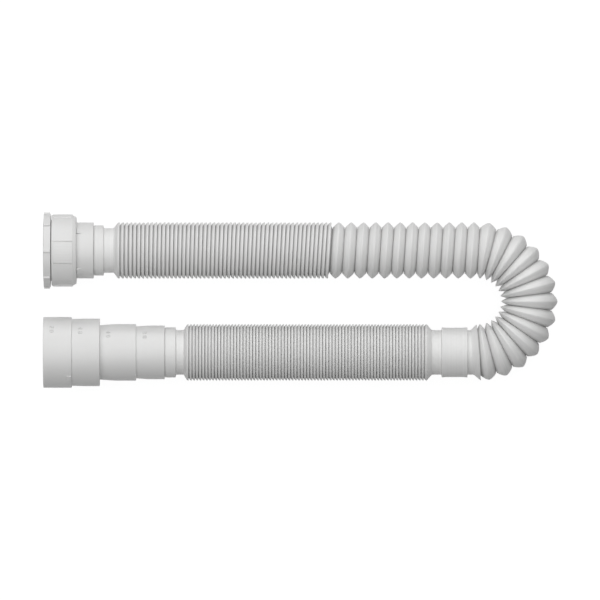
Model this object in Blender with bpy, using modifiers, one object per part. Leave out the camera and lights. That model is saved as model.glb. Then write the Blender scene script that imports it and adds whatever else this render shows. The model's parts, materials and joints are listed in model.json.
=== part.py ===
"""Flexible sink trap: a blown bellows hose bent into a U, with a threaded inlet and a stepped outlet.

The trap lies flat. Its two legs run along X, the inlet leg at +Y and the outlet leg at -Y, and the
hose turns round at +X. Sizes are in millimetres and are turned into metres by MM.
"""

import math

import bmesh
import bpy
import numpy as np
from mathutils import Matrix, Vector

MM = 0.001

# Clearances
SEAT_GAP = 0.3  # between two faces that rest on each other
FIT_GAP = 0.3  # between a round piece and the bore that it sits in, on the radius

# Hose: a thin wall folded into pleats between plain necks and cuffs
VALLEY_R = 15.8
PLEAT_DEPTH = 4.2
HOSE_WALL = 1.1  # measured along the radius
CUFF_STEP = 0.6  # from the hose's plain ends up to its cuffs
CUFF_WAIST = 0.3  # how much the middle cuff pulls in
CUFF_WAIST_RAMP = 3.0
SPIGOT_LENGTH = 11.0  # of each end of the hose, pushed into its fitting
HOSE_SIDES = 16

# Route of the hose
LEG_SPACING = 72.3

# Closed pleats of the inlet leg, whose tips lean towards the bend
UPPER_FOLDS = 52
UPPER_PITCH = 2.92
UPPER_LEAN = 4.47
UPPER_RELEASE = 1.0  # from the last closed tip to the first open valley
INLET_CUFF_LENGTH = 6.7
INLET_NECK_LENGTH = 7.0

# Open pleats, first straight and then round the bend
STRAIGHT_OPEN_FOLDS = 12
OPEN_PITCH = 8.7
BEND_FOLDS = 13

# One closed pleat, the middle cuff and its necks, after the bend
FLARE_LEAN = 4.5
FLARE_OVERLAP = 0.9  # how far the last open valley hides under the flare's lip
BEND_NECK_LENGTH = 3.3
MIDDLE_CUFF_LENGTH = 18.1
MIDDLE_NECK_LENGTH = 7.0

# Closed pleats of the outlet leg, whose tips also lean towards the bend
LOWER_FOLDS = 76
LOWER_PITCH = 2.253
LOWER_LEAN = 3.6
LOWER_END_FLANK = 3.6
OUTLET_NECK_LENGTH = 5.6
OUTLET_CUFF_LENGTH = 7.4

# The pleats' planes run ahead of the route before the bend and lag behind it after
LEAD_DEG = 3.7
LAG_DEG = -4.0
LEAD_FADE_FOLDS = 1.5

# Reducer ring: a ribbed flange on a threaded barrel that screws into the nut
BARREL_R = 23.0  # mean radius of its outer thread
BARREL_WALL = 3.5
FLANGE_LIP = 0.8  # how far the flange stands out past the nut
FLANGE_THICKNESS = 5.2
FLANGE_CHAMFER = 0.5
FLANGE_RIB_HEIGHT = 1.2
FLANGE_RIBS = 8
FLANGE_RIB_WIDTH = 1.4
FLANGE_RIB_PHASE_DEG = 2.0

# Coupling nut
NUT_STANDOFF = 0.65
NUT_LENGTH = 17.7
NUT_WALL = 1.8
NUT_FRONT_CHAMFER = 0.9
NUT_SHOULDER_LENGTH = 3.0
NUT_SHOULDER_DROP = 1.5
NUT_BACK_WALL = 2.7
PAD_COUNT = 4
PAD_HEIGHT = 0.5
PAD_HALF_DEG = 17.4
PAD_PHASE_DEG = 4.0
PAD_RIDGES = 4
PAD_RIDGE_HEIGHT = 0.25

# Inlet tailpiece: a head held in the nut, and a collar that takes the hose
COLLAR_WALL = 2.35
COLLAR_LENGTH = 12.1
COLLAR_CHAMFER = 0.4
HEAD_THICKNESS = 2.4
HEAD_RIM_GAP = 0.8  # between the head's rim and the nut's thread
TAIL_LEDGE = 2.0  # inside the collar, where the hose's end stops
LUG_COUNT = 4
LUG_PHASE_DEG = 47.0
LUG_WIDTH = 4.4
LUG_LENGTH = 2.9
LUG_HEIGHT = 0.8

# Rubber washer between the barrel and the head
WASHER_THICKNESS = 2.4
WASHER_BORE_GAP = 0.4  # how much wider the washer's bore is than the tailpiece's

# Outlet adapter: each step is (length, radius at its outer end, radius of its crown)
OUTLET_STEPS = [
    (20.2, 25.1, 25.1),
    (19.8, 23.7, 23.95),
    (25.8, 19.3, 20.05),
    (20.3, 18.4, 19.05),
]
STEP_CROWN_SHARE = 0.4  # where along a step the crown begins
STEP_WALL = 1.8
SOCKET_WALL = 0.9  # of the smallest step, round the hose's end
THROAT_LEDGE = 1.5  # the least that the adapter's bore is narrower than its socket

FITTING_SIDES = 20
NUT_SIDES = 24
SINK_IN = 0.6  # how deep a rib, pad or lug roots in the piece that carries it
SHARP_EDGE_DEG = 32.0

# Stations along the inlet, from the flange's face
NUT_FRONT = FLANGE_THICKNESS + NUT_STANDOFF
NUT_BACK = NUT_FRONT + NUT_LENGTH
NUT_SHOULDER = NUT_BACK - NUT_BACK_WALL
HEAD_BACK = NUT_SHOULDER - SEAT_GAP
HEAD_FRONT = HEAD_BACK - HEAD_THICKNESS
WASHER_BACK = HEAD_FRONT - SEAT_GAP
WASHER_FRONT = WASHER_BACK - WASHER_THICKNESS
BARREL_END = WASHER_FRONT - SEAT_GAP
COLLAR_MOUTH = NUT_BACK + COLLAR_LENGTH
INLET_SHOULDER = COLLAR_MOUTH + SEAT_GAP
INLET_FOLDS_START = INLET_SHOULDER + INLET_CUFF_LENGTH + INLET_NECK_LENGTH
UPPER_RUN = (UPPER_FOLDS - 1) * UPPER_PITCH + UPPER_LEAN + UPPER_RELEASE
INLET_LEG_LENGTH = INLET_FOLDS_START + UPPER_RUN + STRAIGHT_OPEN_FOLDS * OPEN_PITCH

# Stations along the outlet, from its free end
ADAPTER_LENGTH = sum(length for length, _, _ in OUTLET_STEPS)
OUTLET_SHOULDER = ADAPTER_LENGTH + SEAT_GAP
OUTLET_FOLDS_END = OUTLET_SHOULDER + OUTLET_CUFF_LENGTH + OUTLET_NECK_LENGTH
LOWER_RUN = LOWER_END_FLANK + LOWER_LEAN + (LOWER_FOLDS - 1) * LOWER_PITCH
MIDDLE_RUN = FLARE_LEAN + BEND_NECK_LENGTH + MIDDLE_CUFF_LENGTH + MIDDLE_NECK_LENGTH
OUTLET_LEG_LENGTH = OUTLET_FOLDS_END + LOWER_RUN + MIDDLE_RUN

# Radii that follow from others
BEND_R = LEG_SPACING / 2
BEND_LENGTH = math.pi * BEND_R
BEND_PITCH = BEND_LENGTH / BEND_FOLDS
SOCKET_R = OUTLET_STEPS[-1][1] - SOCKET_WALL
ADAPTER_THROAT_R = SOCKET_R - THROAT_LEDGE
SPIGOT_R = SOCKET_R - FIT_GAP
CUFF_R = SPIGOT_R + CUFF_STEP
CUFF_WAIST_R = CUFF_R - CUFF_WAIST
TIP_R = VALLEY_R + PLEAT_DEPTH
COLLAR_R = SOCKET_R + COLLAR_WALL
TAIL_BORE_R = SOCKET_R - TAIL_LEDGE
WASHER_BORE_R = TAIL_BORE_R + WASHER_BORE_GAP
REDUCER_BORE_R = BARREL_R - BARREL_WALL
NUT_BORE_R = BARREL_R + FIT_GAP
NUT_HOLE_R = COLLAR_R + FIT_GAP
HEAD_R = NUT_BORE_R - HEAD_RIM_GAP
NUT_R = NUT_BORE_R + NUT_WALL
PAD_R = NUT_R + PAD_HEIGHT
FLANGE_R = NUT_R + FLANGE_LIP
FLANGE_RIB_R = FLANGE_R + FLANGE_RIB_HEIGHT

# The trap's place: centred on the origin in X and Y, with its lowest rib on Z = 0
RIB_TURN = math.radians(FLANGE_RIB_PHASE_DEG)
FLANGE_REACH = FLANGE_RIB_R * math.cos(RIB_TURN) + FLANGE_RIB_WIDTH / 2 * math.sin(RIB_TURN)
BEND_REACH = (BEND_R + TIP_R) * max(
    math.sin(math.pi * (fold + 0.5) / BEND_FOLDS) for fold in range(BEND_FOLDS)
)
LEG_LENGTH = max(INLET_LEG_LENGTH, OUTLET_LEG_LENGTH)
BEND_X = (LEG_LENGTH - BEND_REACH) / 2
BEND_Y = (max(r for _, _, r in OUTLET_STEPS) - FLANGE_REACH) / 2
AXIS_Z = FLANGE_REACH
INLET_Y = BEND_Y + BEND_R
OUTLET_Y = BEND_Y - BEND_R
INLET_X = BEND_X - INLET_LEG_LENGTH
OUTLET_X = BEND_X - OUTLET_LEG_LENGTH

LIGHT_GREY = (0.74, 0.74, 0.73, 1.0)
DARK_RUBBER = (0.03, 0.03, 0.032, 1.0)


def clear_scene():
    for thing in list(bpy.data.objects):
        bpy.data.objects.remove(thing)


def new_collection(name):
    collection = bpy.data.collections.new(name)
    bpy.context.scene.collection.children.link(collection)
    return collection


def plain_material(name, colour, roughness):
    material = bpy.data.materials.new(name)
    material.use_nodes = True
    shader = material.node_tree.nodes["Principled BSDF"]
    shader.inputs["Base Color"].default_value = colour
    shader.inputs["Roughness"].default_value = roughness
    shader.inputs["Metallic"].default_value = 0.0
    return material


def turned(name, outline, sides, collection):
    """A solid of revolution. outline holds (station, radius), outer side first; -Z is along it."""
    points = [(radius * MM, 0.0, -station * MM) for station, radius in outline]
    edges = [(i, (i + 1) % len(points)) for i in range(len(points))]
    mesh = bpy.data.meshes.new(name)
    mesh.from_pydata(points, edges, [])
    body = bpy.data.objects.new(name, mesh)
    collection.objects.link(body)
    screw = body.modifiers.new("turn", "SCREW")
    screw.axis = "Z"
    screw.angle = math.tau
    screw.steps = sides
    screw.render_steps = sides
    screw.use_smooth_shade = True
    screw.merge_threshold = 0.00001
    return body


def evaluated_mesh(body):
    """The mesh of an object with its modifiers applied."""
    bpy.context.view_layer.update()
    graph = bpy.context.evaluated_depsgraph_get()
    return bpy.data.meshes.new_from_object(body.evaluated_get(graph))


def bake_modifiers(body):
    mesh = evaluated_mesh(body)
    body.modifiers.clear()
    body.data = mesh


def outline_mesh(points, thickness):
    """A flat outline in XY, given in millimetres, as a solid of that thickness about Z = 0."""
    curve = bpy.data.curves.new("outline", "CURVE")
    curve.dimensions = "2D"
    curve.fill_mode = "BOTH"
    curve.extrude = thickness / 2 * MM
    spline = curve.splines.new("POLY")
    spline.points.add(len(points) - 1)
    for point, (x, y) in zip(spline.points, points):
        point.co = (x * MM, y * MM, 0.0, 1.0)
    spline.use_cyclic_u = True
    holder = bpy.data.objects.new("outline", curve)
    bpy.context.scene.collection.objects.link(holder)
    mesh = evaluated_mesh(holder)
    bpy.data.objects.remove(holder)
    return mesh


def joined_copies(name, mesh, places, collection):
    """One object that holds a welded copy of the mesh at each of the given places."""
    merged = bmesh.new()
    for place in places:
        copy = mesh.copy()
        copy.transform(place)
        merged.from_mesh(copy)
    bmesh.ops.remove_doubles(merged, verts=merged.verts, dist=0.00001)
    bmesh.ops.recalc_face_normals(merged, faces=merged.faces)
    out = bpy.data.meshes.new(name)
    merged.to_mesh(out)
    merged.free()
    tool = bpy.data.objects.new(name, out)
    tool.hide_render = True
    tool.display_type = "WIRE"
    collection.objects.link(tool)
    return tool


def join_to(body, tool):
    """Adds the tool's solids to the body, both being placed in the same frame."""
    tool.matrix_world = body.matrix_world
    union = body.modifiers.new("add_" + tool.name, "BOOLEAN")
    union.operation = "UNION"
    union.solver = "EXACT"
    union.object = tool


def lay_along_x(body, x, y):
    """Turns a piece whose stations run along -Z so that they run along +X, from x."""
    body.matrix_world = Matrix.Translation(Vector((x, y, AXIS_Z)) * MM) @ Matrix.Rotation(
        -math.pi / 2, 4, "Y"
    )


def smooth(body):
    """Rounded faces are shaded smooth and the piece's real edges stay sharp."""
    body.data.shade_smooth()
    body.data.set_sharp_from_angle(angle=math.radians(SHARP_EDGE_DEG))


def finish(body, material):
    """Leaves the piece as one plain mesh with its own material."""
    bake_modifiers(body)
    smooth(body)
    body.data.materials.clear()
    body.data.materials.append(material)


def folds(first_valley, count, pitch, tip_offset):
    """Valley and tip of each pleat, the tip standing tip_offset past its valley."""
    rings = []
    for i in range(count):
        valley = first_valley + i * pitch
        rings.append((valley, VALLEY_R))
        rings.append((valley + tip_offset, TIP_R))
    return rings


def folds_leaning_back(first_tip, count, pitch, lean):
    """Tip and valley of each pleat, the tip standing lean short of the valley that follows it."""
    rings = []
    for i in range(count):
        tip = first_tip + i * pitch
        rings.append((tip, TIP_R))
        rings.append((tip + lean, VALLEY_R))
    return rings


def hose_outline():
    """The hose's wall as one closed outline, along a route that is zero where the bend begins."""
    inlet_shoulder = INLET_SHOULDER - INLET_LEG_LENGTH
    closed_start = INLET_FOLDS_START - INLET_LEG_LENGTH
    open_start = -STRAIGHT_OPEN_FOLDS * OPEN_PITCH
    cuff_start = BEND_LENGTH + FLARE_LEAN + BEND_NECK_LENGTH
    cuff_end = cuff_start + MIDDLE_CUFF_LENGTH
    first_lower_tip = cuff_end + MIDDLE_NECK_LENGTH + LOWER_END_FLANK
    outlet_folds_end = BEND_LENGTH + OUTLET_LEG_LENGTH - OUTLET_FOLDS_END
    outlet_cuff = outlet_folds_end + OUTLET_NECK_LENGTH
    outlet_shoulder = BEND_LENGTH + OUTLET_LEG_LENGTH - OUTLET_SHOULDER

    outer = [
        (inlet_shoulder - SPIGOT_LENGTH, SPIGOT_R),
        (inlet_shoulder, SPIGOT_R),
        (inlet_shoulder, CUFF_R),
        (closed_start - INLET_NECK_LENGTH, CUFF_R),
        (closed_start - INLET_NECK_LENGTH, VALLEY_R),
    ]
    outer += folds(closed_start, UPPER_FOLDS, UPPER_PITCH, UPPER_LEAN)
    outer += folds(open_start, STRAIGHT_OPEN_FOLDS, OPEN_PITCH, OPEN_PITCH / 2)
    outer += folds(0.0, BEND_FOLDS, BEND_PITCH, BEND_PITCH / 2)
    outer += [
        (BEND_LENGTH + FLARE_OVERLAP, VALLEY_R),
        (BEND_LENGTH, TIP_R),
        (BEND_LENGTH + FLARE_LEAN, VALLEY_R),
        (cuff_start, VALLEY_R),
        (cuff_start, CUFF_R),
        (cuff_start + CUFF_WAIST_RAMP, CUFF_WAIST_R),
        (cuff_end - CUFF_WAIST_RAMP, CUFF_WAIST_R),
        (cuff_end, CUFF_R),
        (cuff_end, VALLEY_R),
        (cuff_end + MIDDLE_NECK_LENGTH, VALLEY_R),
    ]
    outer += folds_leaning_back(first_lower_tip, LOWER_FOLDS, LOWER_PITCH, LOWER_LEAN)
    outer += [
        (outlet_cuff, VALLEY_R),
        (outlet_cuff, CUFF_R),
        (outlet_shoulder, CUFF_R),
        (outlet_shoulder, SPIGOT_R),
        (outlet_shoulder + SPIGOT_LENGTH, SPIGOT_R),
    ]

    end_bore = SPIGOT_R - HOSE_WALL
    bore = VALLEY_R - HOSE_WALL
    inner = [
        (inlet_shoulder - SPIGOT_LENGTH, end_bore),
        (closed_start - INLET_NECK_LENGTH - HOSE_WALL, end_bore),
        (closed_start - INLET_NECK_LENGTH, bore),
    ]
    open_rings = folds(open_start, STRAIGHT_OPEN_FOLDS, OPEN_PITCH, OPEN_PITCH / 2)
    open_rings += folds(0.0, BEND_FOLDS, BEND_PITCH, BEND_PITCH / 2)
    inner += [(station, radius - HOSE_WALL) for station, radius in open_rings]
    inner += [
        (BEND_LENGTH + FLARE_OVERLAP, bore),
        (cuff_start, bore),
        (cuff_start + HOSE_WALL, end_bore),
        (cuff_end - HOSE_WALL, end_bore),
        (cuff_end, bore),
        (outlet_cuff, bore),
        (outlet_cuff + HOSE_WALL, end_bore),
        (outlet_shoulder + SPIGOT_LENGTH, end_bore),
    ]
    return outer + inner[::-1]


def fold_plane_lead(station):
    """How far, in radians, a pleat's plane is turned ahead of the route at that station."""
    fade = LEAD_FADE_FOLDS * BEND_PITCH
    stations = [
        INLET_FOLDS_START - INLET_LEG_LENGTH,
        -STRAIGHT_OPEN_FOLDS * OPEN_PITCH,
        0.0,
        fade,
        BEND_LENGTH - fade,
        BEND_LENGTH,
        BEND_LENGTH + FLARE_LEAN,
        BEND_LENGTH + FLARE_LEAN + BEND_NECK_LENGTH,
    ]
    leads = [0.0, LEAD_DEG, LEAD_DEG, 0.0, 0.0, LAG_DEG, LAG_DEG, 0.0]
    return math.radians(np.interp(station, stations, leads))


def route_point(station):
    """Where the route is, from the bend's centre, and the angle that it has turned through."""
    if station <= 0.0:
        return Vector((station, BEND_R, 0.0)), 0.0
    if station >= BEND_LENGTH:
        return Vector((BEND_LENGTH - station, -BEND_R, 0.0)), math.pi
    turn = station / BEND_R
    return Vector((BEND_R * math.sin(turn), BEND_R * math.cos(turn), 0.0)), turn


def bend_along_route(mesh):
    """Moves a straight tube's rings, whose stations run along -Z, onto the route."""
    for vertex in mesh.vertices:
        station = -vertex.co.z / MM
        centre, turn = route_point(station)
        turn += fold_plane_lead(station)
        outward = Vector((math.sin(turn), math.cos(turn), 0.0))
        across = Vector((0.0, 0.0, -1.0))
        vertex.co = centre * MM + outward * vertex.co.x + across * vertex.co.y


def make_hose(collection, material):
    hose = turned("bellows_hose", hose_outline(), HOSE_SIDES, collection)
    bake_modifiers(hose)
    bend_along_route(hose.data)
    hose.location = Vector((BEND_X, BEND_Y, AXIS_Z)) * MM
    finish(hose, material)
    return hose


def around_axis(count, phase_deg):
    """Turns about a fitting's axis, from its top towards -Y, for a ring of equal copies."""
    return [
        Matrix.Rotation(-math.radians(phase_deg + 360.0 * i / count), 4, "Z")
        for i in range(count)
    ]


def make_reducer_ring(collection, tools, material):
    outline = [
        (0.0, FLANGE_R - FLANGE_CHAMFER),
        (FLANGE_CHAMFER, FLANGE_R),
        (FLANGE_THICKNESS - FLANGE_CHAMFER, FLANGE_R),
        (FLANGE_THICKNESS, FLANGE_R - FLANGE_CHAMFER),
        (FLANGE_THICKNESS, BARREL_R),
        (BARREL_END, BARREL_R),
        (BARREL_END, REDUCER_BORE_R),
        (0.0, REDUCER_BORE_R),
    ]
    ring = turned("reducer_ring", outline, NUT_SIDES, collection)
    lay_along_x(ring, INLET_X, INLET_Y)
    root = FLANGE_R - SINK_IN
    rib_outline = [
        (root, -FLANGE_RIB_WIDTH / 2),
        (FLANGE_RIB_R, -FLANGE_RIB_WIDTH / 2),
        (FLANGE_RIB_R, FLANGE_RIB_WIDTH / 2),
        (root, FLANGE_RIB_WIDTH / 2),
    ]
    rib = outline_mesh(rib_outline, FLANGE_THICKNESS - 2 * FLANGE_CHAMFER)
    rib.transform(Matrix.Translation((0.0, 0.0, -FLANGE_THICKNESS / 2 * MM)))
    places = around_axis(FLANGE_RIBS, FLANGE_RIB_PHASE_DEG)
    join_to(ring, joined_copies("flange_ribs", rib, places, tools))
    finish(ring, material)
    return ring


def pad_outline():
    """A grip pad seen along the nut's axis: a root arc, and an outer arc of small ridges."""
    half = math.radians(PAD_HALF_DEG)
    root = NUT_R * math.cos(math.pi / NUT_SIDES) - SINK_IN
    points = [
        (root * math.cos(turn), root * math.sin(turn)) for turn in (half, half / 2, 0.0)
    ]
    points += [(x, -y) for x, y in points[1::-1]]
    steps = 2 * PAD_RIDGES
    for i in range(steps + 1):
        turn = -half + 2 * half * i / steps
        radius = PAD_R - PAD_RIDGE_HEIGHT * (i % 2)
        points.append((radius * math.cos(turn), radius * math.sin(turn)))
    return points


def make_coupling_nut(collection, tools, material):
    shoulder_start = NUT_BACK - NUT_SHOULDER_LENGTH
    outline = [
        (NUT_FRONT, NUT_R - NUT_FRONT_CHAMFER),
        (NUT_FRONT + NUT_FRONT_CHAMFER, NUT_R),
        (shoulder_start, NUT_R),
        (NUT_BACK, NUT_R - NUT_SHOULDER_DROP),
        (NUT_BACK, NUT_HOLE_R),
        (NUT_SHOULDER, NUT_HOLE_R),
        (NUT_SHOULDER, NUT_BORE_R),
        (NUT_FRONT, NUT_BORE_R),
    ]
    nut = turned("coupling_nut", outline, NUT_SIDES, collection)
    lay_along_x(nut, INLET_X, INLET_Y)
    pad_start = NUT_FRONT + NUT_FRONT_CHAMFER
    pad = outline_mesh(pad_outline(), shoulder_start - pad_start)
    pad.transform(Matrix.Translation((0.0, 0.0, -(pad_start + shoulder_start) / 2 * MM)))
    places = around_axis(PAD_COUNT, PAD_PHASE_DEG)
    join_to(nut, joined_copies("grip_pads", pad, places, tools))
    finish(nut, material)
    return nut


def lug_places():
    """Turns that set a lug, drawn in the plane of axis and radius, round the collar."""
    upright = Matrix.Rotation(math.pi / 2, 4, "X")
    return [turn @ upright for turn in around_axis(LUG_COUNT, LUG_PHASE_DEG)]


def make_tailpiece(collection, tools, material):
    socket_floor = INLET_SHOULDER - SPIGOT_LENGTH - SEAT_GAP
    outline = [
        (HEAD_FRONT, HEAD_R),
        (HEAD_BACK, HEAD_R),
        (HEAD_BACK, COLLAR_R),
        (COLLAR_MOUTH - COLLAR_CHAMFER, COLLAR_R),
        (COLLAR_MOUTH, COLLAR_R - COLLAR_CHAMFER),
        (COLLAR_MOUTH, SOCKET_R),
        (socket_floor, SOCKET_R),
        (socket_floor, TAIL_BORE_R),
        (HEAD_FRONT, TAIL_BORE_R),
    ]
    tailpiece = turned("inlet_tailpiece", outline, FITTING_SIDES, collection)
    lay_along_x(tailpiece, INLET_X, INLET_Y)
    lug_front = NUT_BACK + SEAT_GAP
    root = COLLAR_R * math.cos(math.pi / FITTING_SIDES) - SINK_IN
    lug_outline = [
        (root, -lug_front),
        (root, -lug_front - LUG_LENGTH),
        (COLLAR_R, -lug_front - LUG_LENGTH),
        (COLLAR_R + LUG_HEIGHT, -lug_front),
    ]
    lug = outline_mesh(lug_outline, LUG_WIDTH)
    join_to(tailpiece, joined_copies("retaining_lugs", lug, lug_places(), tools))
    finish(tailpiece, material)
    return tailpiece


def make_washer(collection, material):
    outline = [
        (WASHER_FRONT, HEAD_R),
        (WASHER_BACK, HEAD_R),
        (WASHER_BACK, WASHER_BORE_R),
        (WASHER_FRONT, WASHER_BORE_R),
    ]
    washer = turned("tailpiece_washer", outline, FITTING_SIDES, collection)
    lay_along_x(washer, INLET_X, INLET_Y)
    finish(washer, material)
    return washer


def adapter_outline():
    """The stepped outlet: crowned steps outside, and a stepped bore of even wall inside."""
    outer = []
    inner = []
    start = 0.0
    for length, end_radius, crown_radius in OUTLET_STEPS:
        end = start + length
        outer.append((start, end_radius))
        if crown_radius > end_radius:
            outer.append((start + STEP_CROWN_SHARE * length, crown_radius))
        outer.append((end, crown_radius))
        bore = max(end_radius - STEP_WALL, ADAPTER_THROAT_R)
        if inner:
            inner.append((start - STEP_WALL, bore))
        else:
            inner.append((start, bore))
        inner.append((end - STEP_WALL, bore))
        start = end
    socket_floor = OUTLET_SHOULDER - SPIGOT_LENGTH - SEAT_GAP
    inner[-1] = (socket_floor, inner[-1][1])
    inner += [(socket_floor, SOCKET_R), (ADAPTER_LENGTH, SOCKET_R)]
    return outer + inner[::-1]


def make_outlet_adapter(collection, material):
    adapter = turned("outlet_adapter", adapter_outline(), FITTING_SIDES, collection)
    lay_along_x(adapter, OUTLET_X, OUTLET_Y)
    finish(adapter, material)
    return adapter


def build():
    clear_scene()
    parts = new_collection("flexible_sink_trap")
    tools = new_collection("tools")
    make_hose(parts, plain_material("hose_plastic", LIGHT_GREY, 0.42))
    make_reducer_ring(parts, tools, plain_material("reducer_plastic", LIGHT_GREY, 0.38))
    make_coupling_nut(parts, tools, plain_material("nut_plastic", LIGHT_GREY, 0.38))
    make_tailpiece(parts, tools, plain_material("tailpiece_plastic", LIGHT_GREY, 0.38))
    make_washer(parts, plain_material("washer_rubber", DARK_RUBBER, 0.7))
    make_outlet_adapter(parts, plain_material("adapter_plastic", LIGHT_GREY, 0.38))


build()
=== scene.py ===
"""Looks for the flexible sink trap: a finely modelled hose and fittings in place of the plain solids.

Sizes are in millimetres and are turned into metres by MM. Stations run along X from each open end.
Angles round a fitting start at its top and grow towards -Y.
"""

import json
import math

import bmesh
import bpy
import numpy as np
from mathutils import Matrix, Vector

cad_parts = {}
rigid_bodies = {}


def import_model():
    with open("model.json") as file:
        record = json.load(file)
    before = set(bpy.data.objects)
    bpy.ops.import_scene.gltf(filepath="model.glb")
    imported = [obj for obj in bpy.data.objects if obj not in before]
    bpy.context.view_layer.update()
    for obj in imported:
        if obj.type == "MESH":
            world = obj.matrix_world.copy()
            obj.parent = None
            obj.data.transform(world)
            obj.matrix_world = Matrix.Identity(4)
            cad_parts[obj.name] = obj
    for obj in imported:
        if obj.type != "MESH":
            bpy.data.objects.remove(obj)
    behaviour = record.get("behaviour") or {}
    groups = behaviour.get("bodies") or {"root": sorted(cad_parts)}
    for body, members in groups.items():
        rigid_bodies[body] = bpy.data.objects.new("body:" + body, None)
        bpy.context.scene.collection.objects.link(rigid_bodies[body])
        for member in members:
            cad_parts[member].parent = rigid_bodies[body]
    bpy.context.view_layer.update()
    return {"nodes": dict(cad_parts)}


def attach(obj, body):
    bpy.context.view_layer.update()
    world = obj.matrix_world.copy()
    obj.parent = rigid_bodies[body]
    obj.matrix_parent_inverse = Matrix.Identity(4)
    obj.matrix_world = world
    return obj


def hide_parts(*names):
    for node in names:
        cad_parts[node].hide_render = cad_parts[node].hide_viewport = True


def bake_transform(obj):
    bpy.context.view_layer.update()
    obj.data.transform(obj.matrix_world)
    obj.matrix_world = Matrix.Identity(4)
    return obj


MM = 0.001
DEG = math.pi / 180
SEAT_GAP = 0.3  # between two faces that rest on each other

# Roundings of corners, from none to the widest
SHARP = 0.0
HAIR_ROUND = 0.15
CRISP_ROUND = 0.2
EDGE_ROUND = 0.3
NUT_FRONT_ROUND = 0.35
PLAIN_ROUND = 0.4
STEP_END_ROUND = 0.45
MOUTH_ROUND = 0.5
RIM_ROUND = 0.6
NUT_BACK_ROUND = 0.7
SOFT_ROUND = 0.8
CROWN_ROUND = 4.0

# Route of the hose
BEND_X = 126.1625
BEND_Y = -1.004
AXIS_Z = 27.1079
BEND_R = 36.15
BEND_LENGTH = math.pi * BEND_R
INLET_LEG_LENGTH = 308.44
OUTLET_LEG_LENGTH = 308.475
INLET_Y = BEND_Y + BEND_R
OUTLET_Y = BEND_Y - BEND_R
INLET_X = BEND_X - INLET_LEG_LENGTH
OUTLET_X = BEND_X - OUTLET_LEG_LENGTH

# Hose
VALLEY_R = 15.8
TIP_R = 20.0
OPEN_VALLEY_R = 16.3  # where two open pleats meet, above the slit between them
HOSE_WALL = 1.1
CUFF_R = 17.8
CUFF_WAIST_R = 17.5
CUFF_WAIST_RAMP = 3.0
SPIGOT_R = 17.2
SPIGOT_LENGTH = 11.0
HOSE_SIDES = 80
HOSE_SHARP_DEG = 50.0  # edges that turn more than this aren't shaded smooth

INLET_SHOULDER = 35.95
INLET_CUFF_LENGTH = 6.7
INLET_NECK_LENGTH = 7.0
UPPER_FOLDS = 52
UPPER_PITCH = 2.92
UPPER_PLEAT = (4.05, 0.45, 17.5)  # a closed pleat's crest, the rounding of its lip, its foot's radius
OPEN_PITCH = 8.7
STRAIGHT_OPEN_FOLDS = 12
BEND_FOLDS = 13
FULLNESS = 1.35  # of an open pleat's wall: 1 is a straight gable, 2 a round arch
BEND_FULLNESS = 1.5
OPEN_SAMPLES = 11
HOLLOW_SAMPLES = 5
CREASE = 0.12
SLIT_HALF = 0.25  # the slit between two open pleats, at its mouth and at its floor
SLIT_FLOOR_HALF = 0.12
SLIT_FLOOR_R = 15.1
DOME_POWER = 1.8  # how full the visible back of a closed pleat is
DOME_STEPS = 4
LIP_STEPS = 4
HEEL_RISE = 0.5  # how much higher than the foot a pleat's hollow underside begins
HEEL_SHARE = 0.4  # and how far past the crest, as a share of the lip's rounding
LIP_END = -40.0 * DEG  # where the lip's rounding ends, under the pleat
# Painted shade in the hose's slots, darker the deeper a ring lies between its neighbours
RECESS_REACH = 1.7  # how far along the hose a slot's sides are looked for
RECESS_START = 0.7  # depth below them at which a slot's painted shade begins
RECESS_DEPTH = 1.3
HOLLOW_R = 15.1  # the shallow hollows inside the closed pleats
HOLLOW_TOP_R = 16.2
HOLLOW_EDGE = 0.5
HOLLOW_TOP_SHARE = 0.79

FLARE_LEAN = 4.5
FLARE_OVERLAP = 0.9
FLARE_TIP_BACK = 0.4  # how far the flare's tip stands back over the bend, and above the pleats
FLARE_TIP_RISE = 0.1
BEND_NECK_LENGTH = 3.3
MIDDLE_CUFF_LENGTH = 18.1
MIDDLE_NECK_LENGTH = 7.0
LOWER_FOLDS = 76
LOWER_PITCH = 2.253
LOWER_LEAN = 3.6
LOWER_END_FLANK = 3.6
LOWER_PLEAT = (3.25, 0.35, 18.0)
OUTLET_CUFF_LENGTH = 7.4
OUTLET_NECK_LENGTH = 5.6

LEAD_DEG = 3.7
LAG_DEG = -4.0
LEAD_FADE_FOLDS = 1.5

# Stations on the hose's route, which is zero where the bend begins
INLET_END = INLET_SHOULDER - INLET_LEG_LENGTH
INLET_NECK = INLET_END + INLET_CUFF_LENGTH
UPPER_START = INLET_NECK + INLET_NECK_LENGTH
OPEN_START = -STRAIGHT_OPEN_FOLDS * OPEN_PITCH
CUFF_START = BEND_LENGTH + FLARE_LEAN + BEND_NECK_LENGTH
CUFF_END = CUFF_START + MIDDLE_CUFF_LENGTH
LOWER_START = CUFF_END + MIDDLE_NECK_LENGTH
LOWER_RUN = LOWER_LEAN + (LOWER_FOLDS - 1) * LOWER_PITCH
LOWER_END = LOWER_START + LOWER_END_FLANK + LOWER_RUN
OUTLET_NECK = LOWER_END + OUTLET_NECK_LENGTH
OUTLET_END = OUTLET_NECK + OUTLET_CUFF_LENGTH

BEND_PITCH = BEND_LENGTH / BEND_FOLDS
END_BORE = SPIGOT_R - HOSE_WALL
NECK_BORE = VALLEY_R - HOSE_WALL

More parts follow.
